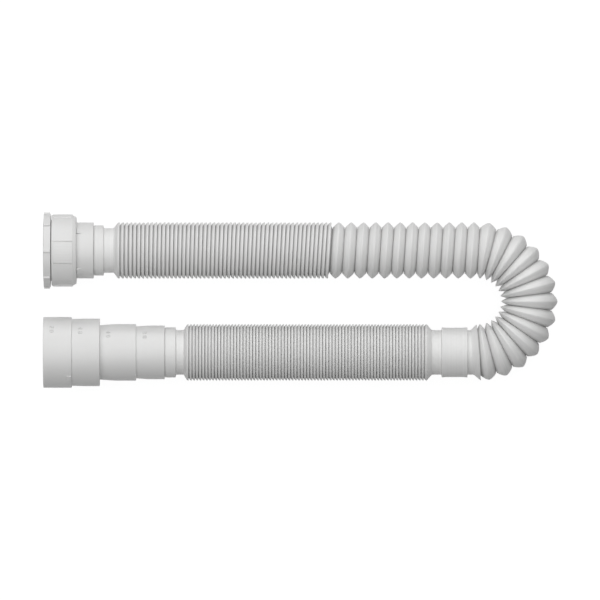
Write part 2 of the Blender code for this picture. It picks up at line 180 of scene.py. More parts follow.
# Reducer ring
FLANGE_R = 25.9
FLANGE_THICKNESS = 5.2
FLANGE_RIB_R = 27.1
FLANGE_RIBS = 8
FLANGE_RIB_WIDTH = 1.4
FLANGE_RIB_PHASE = 2.0 * DEG
FLANGE_SKIN = 0.8  # radii this near to the flange's carry its ribs
RIB_INSET = 0.5
RIB_SIDE = 0.1
REDUCER_BORE_R = 19.5
THREAD_PITCH = 2.309
THREAD_DEPTH = 1.35
THREAD_RINGS = 12  # rings for each turn of the thread
THREAD_STEEPNESS = 1.3
THREAD_CREST = 0.15  # share of the wave that the flat crest cuts off
THREAD_START = 2.5
THREAD_END_INSET = 1.5
THREAD_RUN_OUT = 1.2
BORE_SKIN = 0.1  # radii this near to the bore's carry its thread
BORE_START = 1.4
BORE_END_INSET = 0.8
BORE_ENDS = 2.0  # length of the barrel that is left out when the bore's rings are counted
BORE_MOUTH = [(0.9, 0.2), (0.2, 1.5), (0.0, 1.8)]  # the bevel: stations, and radii past the bore's
BARREL_R = 23.0
BARREL_END = 15.15
RELIEF_GROOVE_R = 21.7
RELIEF_GROOVE_LENGTH = 1.8
GROOVE_SHADE_REACH = 0.9  # radii this near to the groove's floor get its painted shade

# Coupling nut
NUT_FRONT = 5.85
NUT_LENGTH = 17.7
NUT_BACK = NUT_FRONT + NUT_LENGTH
NUT_SHOULDER = 20.85
NUT_R = 25.1
PAD_START = 6.9
PAD_END = 20.8
NUT_SHOULDER_LENGTH = 3.0
NUT_SHOULDER_DROP = 1.5
NUT_BORE_R = 23.3
NUT_HOLE_R = 20.15
PAD_COUNT = 4
PAD_RISE = 0.5
PAD_HALF = 17.4 * DEG
PAD_SIDE = 0.3 * DEG
PAD_PHASE = 4.0 * DEG
PAD_RIDGES = 8
PAD_RIDGE_HEIGHT = 0.05
PAD_GROOVE_DEPTH = 0.8
PAD_GROOVE_HALF = 1.0 * DEG

# Inlet tailpiece
COLLAR_R = 19.85
COLLAR_MOUTH = 35.65
HEAD_FRONT = 18.15
HEAD_BACK = 20.55
HEAD_R = 22.5
TAIL_BORE_R = 15.5
SOCKET_R = 17.5
INLET_SOCKET_FLOOR = 24.65
LUG_COUNT = 4
LUG_PHASE = 47.0 * DEG
LUG_WIDTH = 5.0
LUG_START = NUT_BACK + SEAT_GAP
LUG_LENGTH = 2.9
LUG_HEIGHT = 1.5
LUG_FLAT = 0.2  # before its slope begins

# Outlet adapter: each step is (length, radius at its outer end, radius of its crown, size mark)
OUTLET_STEPS = [
    (20.2, 25.1, 25.1, "50"),
    (19.8, 23.7, 23.95, "48"),
    (25.8, 19.3, 20.05, "40"),
    (20.3, 18.4, 19.05, "38"),
]
STEP_CROWN_SHARE = 0.4
STEP_WALL = 1.8
ADAPTER_THROAT_R = 16.0
OUTLET_SOCKET_FLOOR = 75.1
ADAPTER_OUTSIDE_R = 18.0  # what lies beyond it is the adapter's outer side
# Gate stubs: each is (start, end, lowest and highest angle in degrees, number of its step)
GATE_STUBS = [
    (16.7, 19.9, 42.0, 55.0, 0),
    (65.3, 66.4, 52.0, 60.0, 2),
]
GATE_MIDDLE = [18.0, 19.5]  # rings that carry the first stub's top
GATE_HEIGHT = 0.35
GATE_SIDE = 0.4 * DEG
MARK_ANGLE = -41.0 * DEG
MARK_INSET = 6.3  # from a step's start to the middle of its mark
MARK_HEIGHT = 4.6
MARK_SPACING = 1.6
MARK_RELIEF = 0.4
# painted shade over each whole size mark
MARK_PAINTED_SHADE = 0.35

FITTING_SIDES = 720
FITTING_SHARP_DEG = 35.0
WALL_STEP = 0.15  # run of a relief's steep side
SKIN = 0.6  # radii this near to a surface's own belong to it

# Look
PALE_GREY = (0.74, 0.74, 0.735, 1.0)
HOSE_GREY = (0.82, 0.82, 0.814, 1.0)
# painted shade multiplied into the colour of slots, the reducer's groove and the size marks
RECESS_PAINTED_SHADE = (0.72, 0.72, 0.72, 1.0)
MOULD_LINE_TONE = (0.88, 0.88, 0.88, 1.0)
MOULD_LINES_PER_MM = 0.8
RUBBER_BLACK = (0.03, 0.03, 0.032, 1.0)
WHITE = (1.0, 1.0, 1.0, 1.0)
GLOSS_DRIFT = 0.04
FLOOR_SIZE = 12.0
FLOOR_GREY = (0.15, 0.15, 0.15, 1.0)
FLOOR_GLOW = 0.93
SURROUND_GLOW = 0.22

# Camera: it looks straight down, and FIELD of the trap's middle plane fills the picture's width
FIELD = 425.5
CAMERA_RISE = 12000.0
CAMERA_SHIFT_X = -0.32
SENSOR = 36.0


def set_inputs(node, values):
    for name, value in values.items():
        node.inputs[name].default_value = value


def rounded(points, steps=4):
    """An outline with its corners rounded. points holds (station, radius, rounding)."""
    count = len(points)
    outline = []
    for i, (station, radius, rounding) in enumerate(points):
        corner = np.array((station, radius))
        if rounding == 0.0:
            outline.append(tuple(corner))
            continue
        before = np.array(points[i - 1][:2]) - corner
        after = np.array(points[(i + 1) % count][:2]) - corner
        reach = min(rounding, np.linalg.norm(before) / 2, np.linalg.norm(after) / 2)
        start = corner + before / np.linalg.norm(before) * reach
        end = corner + after / np.linalg.norm(after) * reach
        for t in np.linspace(0.0, 1.0, steps + 1):
            point = (1 - t) ** 2 * start + 2 * t * (1 - t) * corner + t**2 * end
            outline.append(tuple(point))
    return outline


def with_rings_at(outline, stations, low_radius):
    """Adds rings to the outline's outer side, which lies beyond low_radius, at the given stations."""
    result = []
    count = len(outline)
    for i, (station, radius) in enumerate(outline):
        result.append((station, radius))
        next_station, next_radius = outline[(i + 1) % count]
        if next_station <= station or min(radius, next_radius) < low_radius:
            continue
        inside = [s for s in stations if station < s < next_station]
        for s in sorted(inside):
            share = (s - station) / (next_station - station)
            result.append((s, radius + share * (next_radius - radius)))
    return result


def mesh_object(name, points, faces, sharp_deg):
    """A mesh piece in metres from points in millimetres, with its faces turned outwards."""
    mesh = bpy.data.meshes.new(name)
    mesh.from_pydata([tuple(p) for p in points * MM], [], faces)
    welded = bmesh.new()
    welded.from_mesh(mesh)
    bmesh.ops.recalc_face_normals(welded, faces=welded.faces)
    welded.to_mesh(mesh)
    welded.free()
    mesh.shade_smooth()
    mesh.set_sharp_from_angle(angle=sharp_deg * DEG)
    piece = bpy.data.objects.new(name, mesh)
    bpy.context.scene.collection.objects.link(piece)
    return piece


def ring_faces(rings, sides):
    """Quads of a closed tube wall: each ring joins the next one, and the last joins the first."""
    ring = np.arange(rings)[:, None]
    side = np.arange(sides)[None, :]
    here = ring * sides + side
    beside = ring * sides + (side + 1) % sides
    after = (ring + 1) % rings * sides
    quads = np.stack([here, beside, after + (side + 1) % sides, after + side], axis=-1)
    return quads.reshape(-1, 4).tolist()


def turned(name, outline, x, y, sides, relief=None):
    """A fitting turned about X. relief gives the height added at each (station, radius, angle)."""
    station = np.array([point[0] for point in outline])[:, None]
    radius = np.array([point[1] for point in outline])[:, None]
    angle = np.arange(sides)[None, :] * (math.tau / sides)
    spread = radius + np.zeros_like(angle)
    if relief:
        spread = spread + relief(station, radius, angle)
    points = np.stack(
        [
            x + station + np.zeros_like(angle),
            y - spread * np.sin(angle),
            AXIS_Z + spread * np.cos(angle),
        ],
        axis=-1,
    )
    faces = ring_faces(len(outline), sides)
    return mesh_object(name, points.reshape(-1, 3), faces, FITTING_SHARP_DEG)


def angle_from(angle, centres):
    """Distance, in radians, from each angle to the nearest of the centres."""
    gaps = [np.abs((angle - centre + math.pi) % math.tau - math.pi) for centre in centres]
    return np.min(gaps, axis=0)


def spaced(count, phase):
    return [phase + math.tau * i / count for i in range(count)]


def ramp(value, start, end):
    """0 up to start, 1 from end on, and straight in between."""
    return np.clip((value - start) / (end - start), 0.0, 1.0)


def band(value, start, end, run):
    """1 between start and end, with sides that take run outside each of them."""
    return ramp(value, start - run, start) * (1.0 - ramp(value, end, end + run))


# The hose: rows of (station on the route, radius, share of the stretch)


def gable(share, fullness):
    """Radius of an open pleat's wall, for -1 at one crease, 0 at its tip and 1 at the next crease."""
    return TIP_R - (TIP_R - OPEN_VALLEY_R) * abs(share) ** fullness


def opened(radius, falling):
    """Station past its first crease of that radius once a closed pleat has been pulled open."""
    drop = (TIP_R - radius) / (TIP_R - OPEN_VALLEY_R)
    reach = OPEN_PITCH / 2 * (1.0 - drop ** (1.0 / FULLNESS))
    reach = max(reach, CREASE)
    return OPEN_PITCH - reach if falling else reach


def closed_pleat(pitch, crest, lip_r, foot_r):
    """A closed pleat from its crease at station 0, which lies over the next one like a scale.

    A flank rises under the pleat before, then a dome up to the crest, and a rounded lip that
    hangs over the next pleat. Each point is (station, radius, station once the pleat is open).
    """
    foot = crest + lip_r - pitch
    points = [(CREASE, VALLEY_R)]
    for share in np.linspace(1.0, 0.0, DOME_STEPS, endpoint=False):
        radius = TIP_R - (TIP_R - foot_r) * share**DOME_POWER
        points.append((crest - (crest - foot) * share, radius))
    rising = [(station, radius, opened(radius, False)) for station, radius in points]
    lip = [
        (crest + lip_r * math.cos(turn), TIP_R - lip_r + lip_r * math.sin(turn))
        for turn in np.linspace(math.pi / 2, LIP_END, LIP_STEPS)
    ]
    lip.append((crest + lip_r * HEEL_SHARE, foot_r + HEEL_RISE))
    lip.append((pitch - CREASE, VALLEY_R))
    return rising + [(station, radius, opened(radius, True)) for station, radius in lip]


def closed_hollow(pitch):
    """The inner side of the same pleat: a shallow hollow under its long flank."""
    return [
        (HOLLOW_EDGE, HOLLOW_R, 2 * HOLLOW_EDGE),
        (HOLLOW_TOP_SHARE * pitch, HOLLOW_TOP_R, OPEN_PITCH / 2),
        (pitch - HOLLOW_EDGE, HOLLOW_R, OPEN_PITCH - 2 * HOLLOW_EDGE),
    ]


def run_of(pleat, count, pitch):
    """Rows of a run of closed pleats, whose shares are set so that every pleat would open by the same
    amount.
    """
    opening = OPEN_PITCH - pitch
    rows = []
    for i in range(count):
        for station, radius, open_station in pleat:
            travel = i * opening + open_station - station
            share = travel / (opening * (count - 1))
            rows.append((i * pitch + station, radius, min(max(share, 0.0), 1.0)))
    return rows


def open_folds(start, count, pitch, fullness):
    """Outer rows of open pleats: full walls, with a narrow slit between one and the next."""
    rows = []
    for i in range(count):
        tip = start + (i + 0.5) * pitch
        floor = pitch / 2 - SLIT_FLOOR_HALF
        wall = pitch / 2 - SLIT_HALF
        rows.append((tip - floor, SLIT_FLOOR_R, 1.0))
        for step in np.linspace(-1.0, 1.0, OPEN_SAMPLES):
            share = step * math.sqrt(abs(step))
            rows.append((tip + share * wall, gable(share, fullness), 1.0))
        rows.append((tip + floor, SLIT_FLOOR_R, 1.0))
    return rows


def open_hollows(start, count, pitch, fullness):
    """Inner rows of the same pleats."""
    rows = []
    for i in range(count):
        tip = start + (i + 0.5) * pitch
        for share in np.linspace(-1.0, 1.0, HOLLOW_SAMPLES)[:-1]:
            drop = (TIP_R - VALLEY_R) * abs(share) ** fullness
            rows.append((tip + share * pitch / 2, TIP_R - drop - HOSE_WALL, 1.0))
    return rows


def mirrored(rows, length):
    """Rows that run the other way along a stretch of that length."""
    return [(length - station, radius, 1.0 - share) for station, radius, share in rows[::-1]]


def shifted(rows, start):
    return [(start + station, radius, share) for station, radius, share in rows]


def plain_rows(points, share):
    return [(s, r, share) for s, r in points]


def inlet_spigot():
    """The inlet's plain end, its cuff and the neck up to the first pleat."""
    corners = [
        (INLET_END - SPIGOT_LENGTH, END_BORE, SHARP),
        (INLET_END - SPIGOT_LENGTH, SPIGOT_R, EDGE_ROUND),
        (INLET_END, SPIGOT_R, SHARP),
        (INLET_END, CUFF_R, EDGE_ROUND),
        (INLET_NECK, CUFF_R, EDGE_ROUND),
        (INLET_NECK + PLAIN_ROUND, VALLEY_R, PLAIN_ROUND),
        (UPPER_START - CREASE, VALLEY_R, SHARP),
    ]
    return rounded(corners)[1:]


def flare():
    """The closed pleat after the bend and the neck up to the middle cuff."""
    corners = [
        (BEND_LENGTH + FLARE_OVERLAP, VALLEY_R, SHARP),
        (BEND_LENGTH - FLARE_TIP_BACK, TIP_R + FLARE_TIP_RISE, RIM_ROUND),
        (BEND_LENGTH + FLARE_LEAN, VALLEY_R, SOFT_ROUND),
        (CUFF_START, VALLEY_R, SHARP),
    ]
    return rounded(corners)


def inlet_outside():
    closed = run_of(closed_pleat(UPPER_PITCH, *UPPER_PLEAT), UPPER_FOLDS, UPPER_PITCH)
    rows = plain_rows(inlet_spigot(), 0.0)
    rows += shifted(closed[:-1], UPPER_START)
    rows += open_folds(OPEN_START, STRAIGHT_OPEN_FOLDS, OPEN_PITCH, FULLNESS)
    rows += open_folds(0.0, BEND_FOLDS, BEND_PITCH, BEND_FULLNESS)
    rows += plain_rows(flare(), 1.0)
    return rows


def inlet_inside():
    hollows = run_of(closed_hollow(UPPER_PITCH), UPPER_FOLDS, UPPER_PITCH)
    rows = plain_rows([(INLET_END - SPIGOT_LENGTH, END_BORE), (INLET_NECK - HOSE_WALL, END_BORE)], 0.0)
    rows += plain_rows([(INLET_NECK, NECK_BORE), (UPPER_START - CREASE, NECK_BORE)], 0.0)
    rows += shifted(hollows, UPPER_START)
    rows += open_hollows(OPEN_START, STRAIGHT_OPEN_FOLDS, OPEN_PITCH, FULLNESS)
    rows += open_hollows(0.0, BEND_FOLDS, BEND_PITCH, BEND_FULLNESS)
    rows += plain_rows([(BEND_LENGTH + FLARE_LEAN, NECK_BORE), (CUFF_START, NECK_BORE)], 1.0)
    return rows


def inlet_half_rows():
    """The hose from its inlet end to the middle cuff; the share is 0 at the inlet and 1 past it."""
    return inlet_outside() + inlet_inside()[::-1]


def middle_cuff():
    """The middle cuff, its neck and the flank that rises to the first pleat of the outlet leg."""
    corners = [
        (CUFF_START, NECK_BORE, SHARP),
        (CUFF_START, CUFF_R, EDGE_ROUND),
        (CUFF_START + CUFF_WAIST_RAMP, CUFF_WAIST_R, SOFT_ROUND),
        (CUFF_END - CUFF_WAIST_RAMP, CUFF_WAIST_R, SOFT_ROUND),
        (CUFF_END, CUFF_R, EDGE_ROUND),
        (CUFF_END + PLAIN_ROUND, VALLEY_R, PLAIN_ROUND),
        (LOWER_START, VALLEY_R, SOFT_ROUND),
        (LOWER_START + LOWER_END_FLANK, TIP_R, SHARP),
    ]
    return rounded(corners)[1:-1]


def outlet_spigot():
    """The outlet's neck, cuff and plain end."""
    corners = [
        (LOWER_END, VALLEY_R, SHARP),
        (OUTLET_NECK - PLAIN_ROUND, VALLEY_R, PLAIN_ROUND),
        (OUTLET_NECK, CUFF_R, EDGE_ROUND),
        (OUTLET_END, CUFF_R, EDGE_ROUND),
        (OUTLET_END, SPIGOT_R, SHARP),
        (OUTLET_END + SPIGOT_LENGTH, SPIGOT_R, EDGE_ROUND),
        (OUTLET_END + SPIGOT_LENGTH, END_BORE, SHARP),
    ]
    return rounded(corners)[1:-1]


def outlet_outside():
    closed = run_of(closed_pleat(LOWER_PITCH, *LOWER_PLEAT), LOWER_FOLDS, LOWER_PITCH)
    rows = plain_rows(middle_cuff(), 0.0)
    rows += shifted(mirrored(closed[:-LIP_STEPS], LOWER_RUN), LOWER_START + LOWER_END_FLANK)
    rows += plain_rows(outlet_spigot(), 1.0)
    return rows


def outlet_inside():
    hollows = run_of(closed_hollow(LOWER_PITCH), LOWER_FOLDS, LOWER_PITCH)
    rows = plain_rows([(CUFF_START, NECK_BORE), (CUFF_START + HOSE_WALL, END_BORE)], 0.0)
    rows += plain_rows([(CUFF_END - HOSE_WALL, END_BORE), (CUFF_END, NECK_BORE)], 0.0)
    rows += shifted(mirrored(hollows, LOWER_RUN), LOWER_START + LOWER_END_FLANK)
    rows += plain_rows([(OUTLET_NECK, NECK_BORE), (OUTLET_NECK + HOSE_WALL, END_BORE)], 1.0)
    rows += plain_rows([(OUTLET_END + SPIGOT_LENGTH, END_BORE)], 1.0)
    return rows


def outlet_half_rows():
    """The hose from the middle cuff to its outlet end; the share is 0 at the cuff, 1 at the end."""
    return outlet_outside() + outlet_inside()[::-1]


def fold_plane_lead(station):
    """How far, in radians, a pleat's plane is turned ahead of the route at each station."""
    fade = LEAD_FADE_FOLDS * BEND_LENGTH / BEND_FOLDS
    stations = [
        UPPER_START,
        OPEN_START,
        0.0,
        fade,
        BEND_LENGTH - fade,
        BEND_LENGTH,
        BEND_LENGTH + FLARE_LEAN,
        CUFF_START,
    ]
    leads = [0.0, LEAD_DEG, LEAD_DEG, 0.0, 0.0, LAG_DEG, LAG_DEG, 0.0]
    return DEG * np.interp(station, stations, leads)


def recess_of(station, radius):
    """How deep each ring lies between higher ones on both of its sides, from 0 to 1: the share of
    painted shade in slots.
    """
    along = station[None, :] - station[:, None]
    before = np.where((along <= 0.0) & (along > -RECESS_REACH), radius, 0.0).max(axis=1)
    behind = np.where((along >= 0.0) & (along < RECESS_REACH), radius, 0.0).max(axis=1)
    depth = np.minimum(before, behind) - radius
    return np.clip((depth - RECESS_START) / RECESS_DEPTH, 0.0, 1.0)


def store(piece, name, ring_values):
    """Stores one value for each ring of a piece, for its material to read."""
    sides = len(piece.data.vertices) // len(ring_values)
    attribute = piece.data.attributes.new(name, "FLOAT", "POINT")
    attribute.data.foreach_set("value", np.repeat(ring_values, sides))


def hose_piece(name, rows):
    """Sweeps the rows round the hose's route; returns the piece and each vertex's share."""
    station, radius, share = np.array(rows).T
    turn = np.clip(station, 0.0, BEND_LENGTH) / BEND_R
    centre_x = BEND_X + BEND_R * np.sin(turn)
    centre_x += np.minimum(station, 0.0) - np.maximum(station - BEND_LENGTH, 0.0)
    centre_y = BEND_Y + BEND_R * np.cos(turn)
    facing = turn + fold_plane_lead(station)
    angle = np.arange(HOSE_SIDES)[None, :] * (math.tau / HOSE_SIDES)
    outward = radius[:, None] * np.cos(angle)
    points = np.stack(
        [
            centre_x[:, None] + outward * np.sin(facing)[:, None],
            centre_y[:, None] + outward * np.cos(facing)[:, None],
            AXIS_Z - radius[:, None] * np.sin(angle),
        ],
        axis=-1,
    )
    piece = mesh_object(name, points.reshape(-1, 3), ring_faces(len(rows), HOSE_SIDES), HOSE_SHARP_DEG)
    # painted shade in the slots, by how deep each ring lies
    store(piece, "recess_shade", recess_of(station, radius))
    store(piece, "station", station)
    return piece, np.repeat(share, HOSE_SIDES)


def make_hose(material):
    half, share = hose_piece("hose_inlet_half", inlet_half_rows())
    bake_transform(half)
    dress(half, material, "bellows_hose")

    lower_start = BEND_X - FLARE_LEAN - BEND_NECK_LENGTH - MIDDLE_CUFF_LENGTH
    lower_start -= MIDDLE_NECK_LENGTH
    half, share = hose_piece("hose_outlet_half", outlet_half_rows())
    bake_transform(half)
    dress(half, material, "bellows_hose")


def dress(piece, material, node):
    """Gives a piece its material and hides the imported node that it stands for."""
    piece.data.materials.append(material)
    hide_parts(node)


def thread_wave(station, angle):
    """Height, from 0 at a crest to 1 at a root, of a right-hand thread."""
    phase = (station / THREAD_PITCH + angle / math.tau) % 1.0
    triangle = 1.0 - np.abs(2.0 * phase - 1.0)
    return np.clip(THREAD_STEEPNESS * triangle - THREAD_CREST, 0.0, 1.0)


def reducer_relief(station, radius, angle):
    outside = radius > FLANGE_R - FLANGE_SKIN
    rib = angle_from(angle, spaced(FLANGE_RIBS, FLANGE_RIB_PHASE)) * FLANGE_R
    rib_shape = 1.0 - ramp(rib, FLANGE_RIB_WIDTH / 2 - RIB_SIDE, FLANGE_RIB_WIDTH / 2 + RIB_SIDE)
    length = band(station, RIB_INSET, FLANGE_THICKNESS - RIB_INSET, WALL_STEP)
    ribs = (FLANGE_RIB_R - FLANGE_R) * rib_shape * length * outside
    bore = radius < REDUCER_BORE_R + BORE_SKIN
    run = band(station, THREAD_START, BARREL_END - THREAD_END_INSET, THREAD_RUN_OUT)
    return ribs + THREAD_DEPTH * thread_wave(station, angle) * run * bore


def make_reducer_ring(material):
    corners = [
        (0.0, FLANGE_R, RIM_ROUND),
        (FLANGE_THICKNESS, FLANGE_R, HAIR_ROUND),
        (FLANGE_THICKNESS, RELIEF_GROOVE_R, CRISP_ROUND),
        (FLANGE_THICKNESS + RELIEF_GROOVE_LENGTH, RELIEF_GROOVE_R, CRISP_ROUND),
        (FLANGE_THICKNESS + RELIEF_GROOVE_LENGTH, BARREL_R, EDGE_ROUND),
        (BARREL_END, BARREL_R, PLAIN_ROUND),
        (BARREL_END, REDUCER_BORE_R, EDGE_ROUND),
    ]
    outline = rounded(corners)
    rib_end = FLANGE_THICKNESS - RIB_INSET
    edges = [RIB_INSET - WALL_STEP, RIB_INSET, rib_end, rib_end + WALL_STEP]
    outline = with_rings_at(outline, edges, FLANGE_R - FLANGE_SKIN)
    turns = (BARREL_END - BORE_ENDS) / THREAD_PITCH
    bore = np.linspace(BARREL_END - BORE_END_INSET, BORE_START, int(turns * THREAD_RINGS))
    outline += [(station, REDUCER_BORE_R) for station in bore]
    outline += [(station, REDUCER_BORE_R + rise) for station, rise in BORE_MOUTH]
    ring = turned("reducer", outline, INLET_X, INLET_Y, FITTING_SIDES, reducer_relief)
    # painted shade in the relief groove under the gap between flange and nut
    groove = [abs(radius - RELIEF_GROOVE_R) < GROOVE_SHADE_REACH for _, radius in outline]
    store(ring, "recess_shade", np.array(groove, float))
    dress(ring, material, "reducer_ring")
    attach(ring, "reducer")


def nut_relief(station, radius, angle):
    outside = radius > NUT_R - NUT_SHOULDER_DROP
    away = angle_from(angle, spaced(PAD_COUNT, PAD_PHASE))
    length = band(station, PAD_START + WALL_STEP, PAD_END - WALL_STEP, WALL_STEP)
    pad = 1.0 - ramp(away, PAD_HALF - PAD_SIDE, PAD_HALF)
    ridge = 0.5 + 0.5 * np.cos(math.pi * away / PAD_HALF * PAD_RIDGES)
    groove = 1.0 - ramp(np.abs(away - PAD_HALF - PAD_GROOVE_HALF), 0.0, PAD_GROOVE_HALF)
    height = pad * (PAD_RISE - PAD_RIDGE_HEIGHT * ridge) - PAD_GROOVE_DEPTH * groove
    return height * length * outside


def make_coupling_nut(material):
    corners = [
        (NUT_FRONT, NUT_R, NUT_FRONT_ROUND),
        (NUT_BACK - NUT_SHOULDER_LENGTH, NUT_R, PLAIN_ROUND),
        (NUT_BACK, NUT_R - NUT_SHOULDER_DROP, NUT_BACK_ROUND),
        (NUT_BACK, NUT_HOLE_R, EDGE_ROUND),
        (NUT_SHOULDER, NUT_HOLE_R, CRISP_ROUND),
        (NUT_SHOULDER, NUT_BORE_R, SHARP),
        (NUT_FRONT, NUT_BORE_R, CRISP_ROUND),
    ]
    edges = [PAD_START, PAD_START + WALL_STEP, PAD_END - WALL_STEP, PAD_END]
    outline = with_rings_at(rounded(corners), edges, NUT_R - NUT_SHOULDER_DROP)
    nut = turned("nut", outline, INLET_X, INLET_Y, FITTING_SIDES, nut_relief)
    dress(nut, material, "coupling_nut")
    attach(nut, "nut")


def tailpiece_relief(station, radius, angle):
    outside = np.abs(radius - COLLAR_R) < SKIN
    away = angle_from(angle, spaced(LUG_COUNT, LUG_PHASE)) * COLLAR_R
    across = 1.0 - ramp(away, LUG_WIDTH / 2 - WALL_STEP, LUG_WIDTH / 2)
    slope = 1.0 - ramp(station, LUG_START + LUG_FLAT, LUG_START + LUG_LENGTH)
    begins = ramp(station, LUG_START - WALL_STEP, LUG_START)
    return LUG_HEIGHT * across * slope * begins * outside


def make_tailpiece(material):
    corners = [
        (HEAD_FRONT, HEAD_R, EDGE_ROUND),
        (HEAD_BACK, HEAD_R, EDGE_ROUND),
        (HEAD_BACK, COLLAR_R, CRISP_ROUND),
        (COLLAR_MOUTH, COLLAR_R, MOUTH_ROUND),
        (COLLAR_MOUTH, SOCKET_R, CRISP_ROUND),
        (INLET_SOCKET_FLOOR, SOCKET_R, SHARP),
        (INLET_SOCKET_FLOOR, TAIL_BORE_R, SHARP),
        (HEAD_FRONT, TAIL_BORE_R, PLAIN_ROUND),
    ]
    edges = [LUG_START - WALL_STEP, LUG_START, LUG_START + LUG_FLAT, LUG_START + LUG_LENGTH]
    outline = with_rings_at(rounded(corners), edges, COLLAR_R - SKIN)
    piece = turned("tailpiece", outline, INLET_X, INLET_Y, FITTING_SIDES, tailpiece_relief)
    dress(piece, material, "inlet_tailpiece")
    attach(piece, "inlet")


def adapter_corners():
    """The adapter's outline with crowned steps, rounded edges and an even wall."""
    outer = []
    inner = []
    start = 0.0
    for length, end_radius, crown_radius, _ in OUTLET_STEPS:
        end = start + length
        outer.append((start, end_radius, MOUTH_ROUND))
        if crown_radius > end_radius:
            outer.append((start + STEP_CROWN_SHARE * length, crown_radius, CROWN_ROUND))
        outer.append((end, crown_radius, STEP_END_ROUND))
        bore = max(end_radius - STEP_WALL, ADAPTER_THROAT_R)
        inner.append((max(start - STEP_WALL, 0.0), bore, PLAIN_ROUND))
        inner.append((end - STEP_WALL, bore, PLAIN_ROUND))
        start = end
    inner[-1] = (OUTLET_SOCKET_FLOOR, inner[-1][1], CRISP_ROUND)
    inner += [(OUTLET_SOCKET_FLOOR, SOCKET_R, SHARP), (start, SOCKET_R, CRISP_ROUND)]
    return outer + inner[::-1]


def adapter_relief(station, radius, angle):
    """Two small gate stubs on the edges of the 50 mm and 40 mm steps."""
    height = 0.0
    for start, end, low, high, step in GATE_STUBS:
        crown_radius = OUTLET_STEPS[step][2]
        outside = np.abs(radius - crown_radius) < SKIN
        around = band(angle, low * DEG, high * DEG, GATE_SIDE)
        height = height + GATE_HEIGHT * around * band(station, start, end, WALL_STEP) * outside
    return height


def make_outlet_adapter(material):
    edges = GATE_MIDDLE + [start for start, *_ in GATE_STUBS]
    edges += [start - WALL_STEP for start, *_ in GATE_STUBS]
    outline = with_rings_at(rounded(adapter_corners()), edges, ADAPTER_OUTSIDE_R)
    piece = turned("adapter", outline, OUTLET_X, OUTLET_Y, FITTING_SIDES, adapter_relief)
    dress(piece, material, "outlet_adapter")
    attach(piece, "outlet")


def mark_mesh(text):
    """The digits as a thin solid that stands on the plane Z = 0, in millimetres."""
    curve = bpy.data.curves.new("mark", "FONT")
    curve.body = text
    curve.size = MARK_HEIGHT
    curve.space_character = MARK_SPACING
    curve.align_x = "CENTER"
    curve.align_y = "CENTER"
    curve.extrude = MARK_RELIEF
    holder = bpy.data.objects.new("mark", curve)
    bpy.context.scene.collection.objects.link(holder)
    bpy.context.view_layer.update()
    graph = bpy.context.evaluated_depsgraph_get()
    mesh = bpy.data.meshes.new_from_object(holder.evaluated_get(graph))
    bpy.data.objects.remove(holder)
    return mesh


def wrap_on_step(mesh, start, length, end_radius, crown_radius):
    """Lays a mark round its step, on the ground that rises to the step's crown."""
    stations = [start, start + STEP_CROWN_SHARE * length, start + length]
    for vertex in mesh.vertices:
        station = start + MARK_INSET - vertex.co.y
        ground = np.interp(station, stations, [end_radius, crown_radius, crown_radius])
        radius = ground + vertex.co.z
        angle = MARK_ANGLE + vertex.co.x / ground
        vertex.co = (
            (OUTLET_X + station) * MM,
            (OUTLET_Y - radius * math.sin(angle)) * MM,
            (AXIS_Z + radius * math.cos(angle)) * MM,
        )


def make_size_marks(material):
    """A raised number on each step, its digits one below the other round the step."""
    start = 0.0
    for length, end_radius, crown_radius, text in OUTLET_STEPS:
        mesh = mark_mesh(text)
        wrap_on_step(mesh, start, length, end_radius, crown_radius)
        piece = bpy.data.objects.new("size_mark_" + text, mesh)
        bpy.context.scene.collection.objects.link(piece)
        # painted shade over the whole mark
        store(piece, "recess_shade", np.full(len(mesh.vertices), MARK_PAINTED_SHADE))
        mesh.materials.clear()
        mesh.materials.append(material)
        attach(piece, "outlet")
        start += length


def noise(tree, place, values):
    texture = tree.nodes.new("ShaderNodeTexNoise")
    set_inputs(texture, values)
    tree.links.new(place, texture.inputs["Vector"])
    return texture.outputs["Fac"]


def multiplier(tree):
    """A node that multiplies two colours."""
    mix = tree.nodes.new("ShaderNodeMix")
    mix.data_type = "RGBA"
    mix.blend_type = "MULTIPLY"
    return mix


def drift_tone(tree, shader, cloud, colour, drift):
    """The colour, darker by up to the drift where the cloud is thin."""
    tone = tree.nodes.new("ShaderNodeMapRange")
    set_inputs(tone, {"From Min": 0.3, "From Max": 0.7, "To Min": 1 - drift, "To Max": 1.0})
    tree.links.new(cloud, tone.inputs["Value"])
    tint = multiplier(tree)
    tint.inputs["Factor"].default_value = 1.0
    tint.inputs["A"].default_value = colour
    tree.links.new(tone.outputs["Result"], tint.inputs["B"])
    tree.links.new(tint.outputs["Result"], shader.inputs["Base Color"])


def drift_gloss(tree, shader, cloud, roughness):
    gloss = tree.nodes.new("ShaderNodeMapRange")
    set_inputs(gloss, {"To Min": roughness - GLOSS_DRIFT, "To Max": roughness + GLOSS_DRIFT})
    tree.links.new(cloud, gloss.inputs["Value"])
    tree.links.new(gloss.outputs["Result"], shader.inputs["Roughness"])


def add_grain(tree, shader, place):
    grain = noise(tree, place, {"Scale": 900.0, "Detail": 2.0})
    bump = tree.nodes.new("ShaderNodeBump")
    set_inputs(bump, {"Strength": 0.12, "Distance": 0.0001})
    tree.links.new(grain, bump.inputs["Height"])
    tree.links.new(bump.outputs["Normal"], shader.inputs["Normal"])


